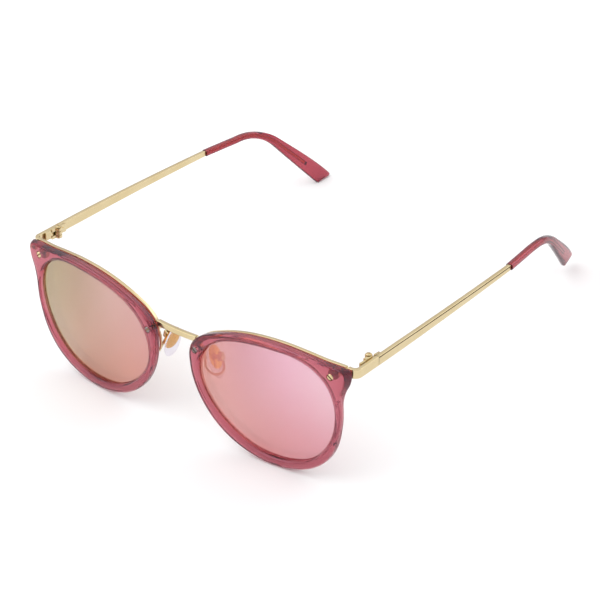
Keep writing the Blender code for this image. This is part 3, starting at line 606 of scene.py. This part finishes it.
def make_rim(side):
    inner = smooth_loop(LENS_OUTLINE)
    rings = []
    for outer in even_stations(smooth_loop(RIM_OUTLINE), RIM_STATIONS):
        direction = (outer - LENS_CENTRE).normalized()
        start = LENS_CENTRE + direction * reach_towards(inner, direction)
        flare = LUG_FLARE * min(max((outer.x - LUG_START_X) / LUG_FLARE_RUN, 0.0), 1.0)
        section = rounded(rim_section((outer - start).length, flare), RIM_ROUNDING)
        rings.append([on_face(start + direction * s + Vector((f, 0.0)), d, side) for s, d, f in section])
    bm = bmesh.new()
    loft(bm, rings, closed_path=True)
    node = "rim_" + SIDES[side]
    rim = piece("fine_" + node, bm, RIM_ACETATE)
    for radius, depth in ((SCREW_HOLE_R, HOLE_FAR), (SCREW_SEAT_R, SCREW_SEAT_DEPTH)):
        tool = bmesh.new()
        for spot in (SCREW_OUTER, SCREW_NASAL):
            cylinder(tool, radius, HOLE_NEAR, depth, HOLE_SEGMENTS, screw_matrix(spot, side))
        cut(rim, tool)
    level(rim)
    stand_in(rim, node, "front")


def make_lens(side):
    outline = even_stations(smooth_loop(LENS_OUTLINE), LENS_STATIONS)

    def ring(reach, depth, fraction=1.0):
        points = []
        for flat in outline:
            out = flat - LENS_CENTRE
            spot = LENS_CENTRE + out.normalized() * (out.length + reach) * fraction
            points.append(on_face(spot, depth, side))
        return points

    body = -LENS_CLEARANCE
    ease_in, ease_back = LENS_EDGE_EASE
    fractions = [k / LENS_RINGS for k in range(1, LENS_RINGS)]
    rings = [ring(body, 0.0, k) for k in fractions] + [ring(body - ease_in, 0.0), ring(body, ease_back)]
    rings += [ring(body, TONGUE_FRONT), ring(TONGUE_REACH, TONGUE_FRONT), ring(TONGUE_REACH, TONGUE_REAR),
              ring(body, TONGUE_REAR), ring(body, LENS_THICKNESS)]
    rings += [ring(body, LENS_THICKNESS, k) for k in reversed(fractions)]
    bm = bmesh.new()
    loops = loft(bm, rings, caps=False)
    for loop, depth in ((loops[0], 0.0), (loops[-1], LENS_THICKNESS)):
        middle = bm.verts.new(on_face(LENS_CENTRE, depth, side))
        for a, b in zip(loop, loop[1:] + loop[:1]):
            bm.faces.new((a, b, middle))
    node = "lens_" + SIDES[side]
    stand_in(piece("fine_" + node, bm, LENS_LOOKS[side]), node, "front")


# Gold chassis ------------------------------------------------------------------------------------

def bar_path():
    """Flat points along the top of the rim from the nasal corner to the lug."""
    points = [p for p in smooth_loop(RIM_OUTLINE, 12) if p.y > BAR_NASAL_Z]
    points = [p for p in points if p.x < LENS_CENTRE.x or (p.x < BAR_OUTER_X and p.y > BAR_OUTER_Z)]
    return sorted(points, key=lambda p: -math.atan2(p.y, p.x - LENS_CENTRE.x))


def make_brow_bar(side):
    path = bar_path()
    y0 = RIM_REAR + GAP
    y1 = y0 + BAR_DEPTH
    rings = []
    for i, p in enumerate(path):
        before = path[max(i - 3, 0)]
        after = path[min(i + 3, len(path) - 1)]
        inward = Vector((after.y - before.y, before.x - after.x)).normalized()
        section = rounded([(0.0, y0), (0.0, y1), (BAR_HEIGHT, y1), (BAR_HEIGHT, y0)], EDGE_ROUNDING)
        rings.append([on_face(p + inward * (BAR_INSET + drop), depth, side) for drop, depth in section])
    bm = bmesh.new()
    loft(bm, rings)
    node = "brow_bar_" + SIDES[side]
    bar = piece("fine_" + node, bm, GOLD)
    base = RIM_REAR - RIM_FRONT + GAP
    for spot, radius in ((SCREW_OUTER, BOSS_R), (SCREW_NASAL, BOSS_NASAL_R)):
        boss = bmesh.new()
        cylinder(boss, radius, base, base + BAR_DEPTH, BOSS_SEGMENTS, screw_matrix(spot, side))
        cut(bar, boss, "UNION")
    bores = bmesh.new()
    for spot in (SCREW_OUTER, SCREW_NASAL):
        cylinder(bores, SCREW_HOLE_R, 0.0, BORE_FAR, HOLE_SEGMENTS, screw_matrix(spot, side))
    cut(bar, bores)
    stand_in(bar, node, "front")


def make_bridge():
    h, d = BRIDGE_HEIGHT / 2, BRIDGE_DEPTH / 2
    section = rounded([(-d, -h), (-d, h), (d, h), (d, -h)], BRIDGE_ROUNDING)
    rings = []
    for i in range(BRIDGE_STEPS + 1):
        t = 2.0 * i / BRIDGE_STEPS - 1.0
        y = BRIDGE_END_Y - BRIDGE_BOW * (1.0 - t * t)
        rings.append([Vector((BRIDGE_HALF * t, y + a, BRIDGE_Z + b)) for a, b in section])
    bm = bmesh.new()
    loft(bm, rings)
    stand_in(piece("fine_bridge", bm, GOLD), "bridge", "front")


def strip_line(y):
    """Middle of the side strip at a distance y back."""
    back = y - JOINT_Y
    x = STRIP_OUTER_X - STRIP_THICKNESS / 2 - STRIP_TOE_IN * back - STRIP_CURVE * max(back, 0.0) * back
    z = STRIP_Z + STRIP_RISE * back - STRIP_FALL * max(back, 0.0) * back
    return Vector((x, y, z))


def strip_section(height, grooved):
    """Strip section as (outward, up), with or without the line along the top of its outer face."""
    a, b = STRIP_THICKNESS / 2, height / 2
    corners = [(a, -b), (a, b), (-a, b), (-a, -b)]
    eased = rounded(corners, EDGE_ROUNDING)
    if not grooved:
        return eased
    top = b - GROOVE_LINE_DROP
    line = [(a, top - GROOVE_LINE_WIDTH), (a - GROOVE_LINE_DEPTH, top - GROOVE_LINE_WIDTH * 0.75),
            (a - GROOVE_LINE_DEPTH, top - GROOVE_LINE_WIDTH * 0.25), (a, top)]
    return eased[:4] + [Vector(p) for p in line] + eased[4:]


def make_end_piece(side):
    half = STRIP_THICKNESS / 2
    turn = strip_line(CORNER_Y)
    radius = CORNER_RADIUS - half
    centre = Vector((turn.x - radius, CORNER_Y))
    path = [Vector((END_PIECE_START_X, centre.y - radius))]
    for i in range(CORNER_STEPS + 1):
        angle = math.radians(-90.0 + 90.0 * i / CORNER_STEPS)
        path.append(centre + Vector((math.cos(angle), math.sin(angle))) * radius)
    end = strip_line(JOINT_Y)
    path.append(Vector((end.x, end.y)))
    rings = []
    for i, p in enumerate(path):
        run = (path[min(i + 1, len(path) - 1)] - path[max(i - 1, 0)]).normalized()
        out = Vector((run.y, -run.x))
        z = strip_line(max(p.y, CORNER_Y)).z
        ring = []
        for a, b in strip_section(STRIP_HEIGHT, False):
            q = p + out * a
            ring.append(Vector((side * q.x, JOINT_Y if i == len(path) - 1 else q.y, z + b)))
        rings.append(ring)
    bm = bmesh.new()
    loft(bm, rings)
    node = "end_piece_" + SIDES[side]
    stand_in(piece("fine_" + node, bm, GOLD), node, "front")


# Temples -----------------------------------------------------------------------------------------

def tip_length(side):
    return (TIP_BEND_Y - TIP_START_Y) + TIP_BEND_RADIUS * TIP_BEND[side] + TIP_STRAIGHT


def tip_point(run, side):
    """Centre line of a tip at a run past the end of the gold, on the left side, and its slope."""
    start = strip_line(TIP_START_Y)
    level_run = TIP_BEND_Y - TIP_START_Y
    bent = min(max(run - level_run, 0.0) / TIP_BEND_RADIUS, TIP_BEND[side])
    straight = max(run - level_run - TIP_BEND_RADIUS * TIP_BEND[side], 0.0)
    before = min(run, level_run)
    angle = TIP_RISE - bent
    y = (start.y + before + TIP_BEND_RADIUS * (math.sin(TIP_RISE) - math.sin(angle))
         + straight * math.cos(angle))
    z = (start.z + before * TIP_RISE + TIP_BEND_RADIUS * (math.cos(angle) - math.cos(TIP_RISE))
         + straight * math.sin(angle))
    toe = max(run - TIP_TOE_START, 0.0)
    settle = TIP_SETTLE * min(run / TIP_SETTLE_RUN, 1.0)
    x = strip_line(y).x - TIP_TOE_IN * toe * toe / (toe + TIP_TOE_EASE) - settle
    return Vector((x, y, z)), angle


def tip_frame(run, side):
    """Point on a tip with its along, up and outward directions, and how far it has widened."""
    point, angle = tip_point(run, side)
    low, high = max(run - 0.5, 0.0), min(run + 0.5, tip_length(side))
    along = (tip_point(high, side)[0] - tip_point(low, side)[0]).normalized()
    up = Vector((0.0, -math.sin(angle), math.cos(angle)))
    up = (up - along * up.dot(along)).normalized()
    level_run = TIP_BEND_Y - TIP_START_Y
    swell = min(max((run - level_run) / (tip_length(side) - level_run), 0.0), 1.0)
    swell = swell * swell * (3 - 2 * swell)
    return point + up * PADDLE_OFFSET * swell, along, up, along.cross(up), swell


def mirrored(point, side):
    return Vector((side * point.x, point.y, point.z))


def make_temple(side):
    """Gold strip and, as one piece with it, the core inside the tip."""
    rings = []
    y_start = JOINT_Y + FINE_GAP
    for i in range(STRIP_STATIONS + 1):
        y = y_start + (TIP_START_Y - y_start) * i / STRIP_STATIONS
        taper = max(y - STRIP_TAPER_Y, 0.0) / (TIP_START_Y - STRIP_TAPER_Y)
        height = STRIP_HEIGHT + (STRIP_HEIGHT_END - STRIP_HEIGHT) * taper
        section = strip_section(height, True)
        rings.append([mirrored(strip_line(y) + Vector((a, 0.0, b)), side) for a, b in section])
    core = tip_length(side) - CORE_STOP
    for i in range(TIP_STATIONS):
        point, _, up, out, _ = tip_frame(core * i / (TIP_STATIONS - 1), side)
        section = rounded([(CORE_SIZE[0] / 2 * a, CORE_SIZE[1] / 2 * b)
                           for a, b in ((1, -1), (1, 1), (-1, 1), (-1, -1))], EDGE_ROUNDING)
        section = section[:4] + [section[3].lerp(section[4], k / 5) for k in (1, 2, 3, 4)] + section[4:]
        rings.append([mirrored(point + out * a + up * b, side) for a, b in section])
    bm = bmesh.new()
    loft(bm, rings)
    bm.faces.ensure_lookup_table()
    count = len(rings[0])
    # The groove line's faces take the darker gold: painted shade.
    for i in range(STRIP_STATIONS * count):
        if i % count in SHADED_GROOVE_FACES:
            bm.faces[i].material_index = PAINTED_SHADE_SLOT
    for face in bm.faces[(STRIP_STATIONS + 1) * count:]:
        face.material_index = CORE_SLOT
    node = "temple_" + SIDES[side]
    temple = piece("fine_" + node, bm, GOLD)
    temple.data.materials.append(PAINTED_SHADE_GOLD)
    temple.data.materials.append(PAD_GOLD)
    stand_in(temple, node, node)


def oval(point, up, out, size, side):
    """Rounded rectangular section, as a superellipse."""
    ring = []
    for i in range(OVAL_SEGMENTS):
        angle = 2 * math.pi * (i + 0.5) / OVAL_SEGMENTS
        a = math.copysign(abs(math.cos(angle)) ** OVAL_POWER, math.cos(angle))
        b = math.copysign(abs(math.sin(angle)) ** OVAL_POWER, math.sin(angle))
        ring.append(mirrored(point + out * size[0] / 2 * a + up * size[1] / 2 * b, side))
    return ring


def make_tip(side):
    """Acetate tip with a slanted, softened end, round a blind channel for the core."""
    length = tip_length(side)
    skin = []
    for i in range(TIP_STATIONS):
        point, along, up, out, swell = tip_frame(GAP + (length - GAP) * i / (TIP_STATIONS - 1), side)
        size = [a + (b - a) * swell for a, b in zip(TIP_SIZE, PADDLE_SIZE)]
        skin.append(oval(point, up, out, size, side))
    middle, along, up = (mirrored(v, side) for v in (point, along, up))
    last = skin[-1]
    for k in range(TIP_END_STEPS + 1):
        angle = math.pi / 2 * k / TIP_END_STEPS
        narrowing = 1.0 - TIP_END_NARROWING * (1.0 - math.cos(angle))
        ring = []
        for p in last:
            slant = along * (p - middle).dot(up) * TIP_END_SLANT
            ring.append(middle + (p - middle) * narrowing + slant
                        + along * TIP_END_CAP * math.sin(angle))
        if k == 0:
            skin[-1] = ring
        else:
            skin.append(ring)
    channel = []
    end = length - CORE_STOP + CHANNEL_SPARE
    bore = [v + 2 * CORE_CLEARANCE for v in CORE_SIZE]
    for i in range(TIP_STATIONS):
        point, _, up, out, _ = tip_frame(GAP + (end - GAP) * i / (TIP_STATIONS - 1), side)
        channel.append(oval(point, up, out, bore, side))
    bm = bmesh.new()
    outer = loft(bm, skin, caps=False)
    inside = loft(bm, channel, caps=False)
    bm.faces.new(outer[-1])
    bm.faces.new(inside[-1])
    for i in range(len(outer[0])):
        j = (i + 1) % len(outer[0])
        bm.faces.new((outer[0][i], outer[0][j], inside[0][j], inside[0][i]))
    node = "temple_tip_" + SIDES[side]
    tip = piece("fine_" + node, bm, TIP_ACETATE)
    level(tip)
    stand_in(tip, node, "temple_" + SIDES[side])


# Nose pads ---------------------------------------------------------------------------------------

def pad_matrix(side):
    """Pad axes with the origin at the pad's screw."""
    up = -PAD_DOWN.normalized()
    nose = Vector((-math.cos(PAD_SPLAY), math.sin(PAD_SPLAY), 0.0))
    nose = (nose - up * nose.dot(up)).normalized()
    across = nose.cross(up)
    if across.y < 0:
        across = -across
    up, across, nose = (mirrored(v, side) for v in (up, across, nose))
    pivot = mirrored(PAD_CENTRE, side) + up * PIVOT_U + nose * PIVOT_N
    turn = Matrix((up, across * side, nose)).transposed().to_4x4()
    return Matrix.Translation(pivot) @ turn


def make_pad(side):
    """Silicone oval, flat behind and domed towards the nose."""
    rings = []
    for grow, rise in PAD_PROFILE:
        ring = []
        for i in range(PAD_SEGMENTS):
            angle = 2 * math.pi * i / PAD_SEGMENTS
            ring.append(Vector((-PIVOT_U + PAD_HALF[0] * grow * math.cos(angle),
                                PAD_HALF[1] * grow * math.sin(angle), -PIVOT_N + PAD_THICKNESS * rise)))
        rings.append(ring)
    bm = bmesh.new()
    loft(bm, rings)
    node = "nose_pad_" + SIDES[side]
    pad = piece("fine_" + node, bm, SILICONE, TABLE @ pad_matrix(side), PAD_SMOOTH_ANGLE)
    stand_in(pad, node, "pad_" + SIDES[side])


# Small metal pieces ------------------------------------------------------------------------------

def soften(node, body, material):
    """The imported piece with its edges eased, so that they catch the light."""
    bm = bmesh.new()
    bm.from_mesh(frame["nodes"][node].data)
    bmesh.ops.remove_doubles(bm, verts=bm.verts, dist=WELD_DISTANCE)
    bmesh.ops.dissolve_limit(bm, angle_limit=math.radians(FLAT_ANGLE), verts=bm.verts, edges=bm.edges)
    corner = math.radians(EDGE_ANGLE)
    sharp = [e for e in bm.edges if len(e.link_faces) == 2 and e.calc_face_angle() > corner]
    bmesh.ops.bevel(bm, geom=sharp, offset=SOFT_EDGE * MM, segments=2, profile=0.5, affect="EDGES",
                    clamp_overlap=True)
    obj = piece("fine_" + node, bm, material, Matrix.Identity(4), SOFT_SMOOTH_ANGLE)
    stand_in(obj, node, body)
    return obj


def shade_slot(screw, spot, side):
    """Painted shade: darker gold on the walls and floor of a rim screw's slot."""
    screw.data.materials.append(PAINTED_SHADE_GOLD)
    to_screw = (TABLE @ screw_matrix(spot, side)).inverted()
    for face in screw.data.polygons:
        p = to_screw @ face.center
        if p.xy.length < SLOT_REACH and SLOT_SHADE[0] < p.z < SLOT_SHADE[1]:
            face.material_index = PAINTED_SHADE_SLOT


def small_parts(side):
    """Screws, hinge leaves and the metal of the nose pads."""
    name = SIDES[side]
    outer = soften("rim_screw_outer_" + name, "front", GOLD)
    shade_slot(outer, SCREW_OUTER, side)
    for part in ("hinge_front_leaf", "hinge_screw", "nose_pad_arm", "nose_pad_box", "nose_pad_screw"):
        soften(part + "_" + name, "front", GOLD)
    nasal = soften("rim_screw_nasal_" + name, "front", SILVER)
    shade_slot(nasal, SCREW_NASAL, side)
    soften("hinge_temple_leaf_" + name, "temple_" + name, GOLD)
    soften("nose_pad_plate_" + name, "pad_" + name, PAD_GOLD)


# Stage -------------------------------------------------------------------------------------------

def make_floor():
    """Matt white sheet under the object."""
    bm = bmesh.new()
    bmesh.ops.create_grid(bm, x_segments=1, y_segments=1, size=FLOOR_SIZE)
    look = Look("floor", Roughness=0.9)
    look.colour(look.noise(3.0), (0.93, 0.93, 0.93, 1.0), (0.96, 0.96, 0.96, 1.0))
    floor = piece("floor", bm, look.material, Matrix.Identity(4))


def make_world():
    """Soft studio: bright above, a little darker towards the horizon so that metal shows its shape."""
    world = bpy.data.worlds.new("studio")
    bpy.context.scene.world = world
    world.use_nodes = True
    tree = world.node_tree
    coords = tree.nodes.new("ShaderNodeTexCoord")
    split = tree.nodes.new("ShaderNodeSeparateXYZ")
    ramp = tree.nodes.new("ShaderNodeValToRGB")
    ramp.color_ramp.elements[0].position = 0.0
    ramp.color_ramp.elements[0].color = HORIZON
    ramp.color_ramp.elements[1].position = BRIGHT_FROM
    ramp.color_ramp.elements[1].color = WHITE
    tree.links.new(coords.outputs["Generated"], split.inputs["Vector"])
    tree.links.new(split.outputs["Z"], ramp.inputs["Fac"])
    tree.links.new(ramp.outputs["Color"], tree.nodes["Background"].inputs["Color"])
    tree.nodes["Background"].inputs["Strength"].default_value = 1.0


def area_light(name, location, size, power):
    """White panel that shines on the object."""
    light = bpy.data.lights.new(name, "AREA")
    light.shape = "RECTANGLE"
    light.size, light.size_y = size
    light.energy = power
    obj = bpy.data.objects.new(name, light)
    obj.location = location
    obj.rotation_euler = (-Vector(location)).to_track_quat("-Z", "Y").to_euler()
    bpy.context.scene.collection.objects.link(obj)


def make_camera():
    """Camera in front of the wearer's left, looking down at the frame."""
    a, e = VIEW_AZIMUTH, VIEW_ELEVATION
    back = Vector((math.sin(a) * math.cos(e), -math.cos(a) * math.cos(e), math.sin(e)))
    right = Vector((math.cos(a), math.sin(a), 0.0))
    up = back.cross(right)
    place = back * VIEW_DISTANCE - right * VIEW_OFFSET[0] - up * VIEW_OFFSET[1]
    data = bpy.data.cameras.new("camera")
    data.sensor_width = SENSOR
    data.lens = FOCAL
    data.clip_end = CLIP_END
    camera = bpy.data.objects.new("camera", data)
    turn = (TABLE.to_3x3() @ Matrix((right, up, back)).transposed()).normalized()
    camera.matrix_world = Matrix.Translation(TABLE @ place) @ turn.to_4x4()
    bpy.context.scene.collection.objects.link(camera)
    bpy.context.scene.camera = camera


make_bridge()
for side in (RIGHT, LEFT):
    make_rim(side)
    make_lens(side)
    make_brow_bar(side)
    make_end_piece(side)
    make_temple(side)
    make_tip(side)
    make_pad(side)
    small_parts(side)
make_floor()
make_world()
make_camera()
bpy.context.scene.view_settings.view_transform = "Standard"
area_light("key", *KEY_LIGHT)
area_light("back", *BACK_LIGHT)
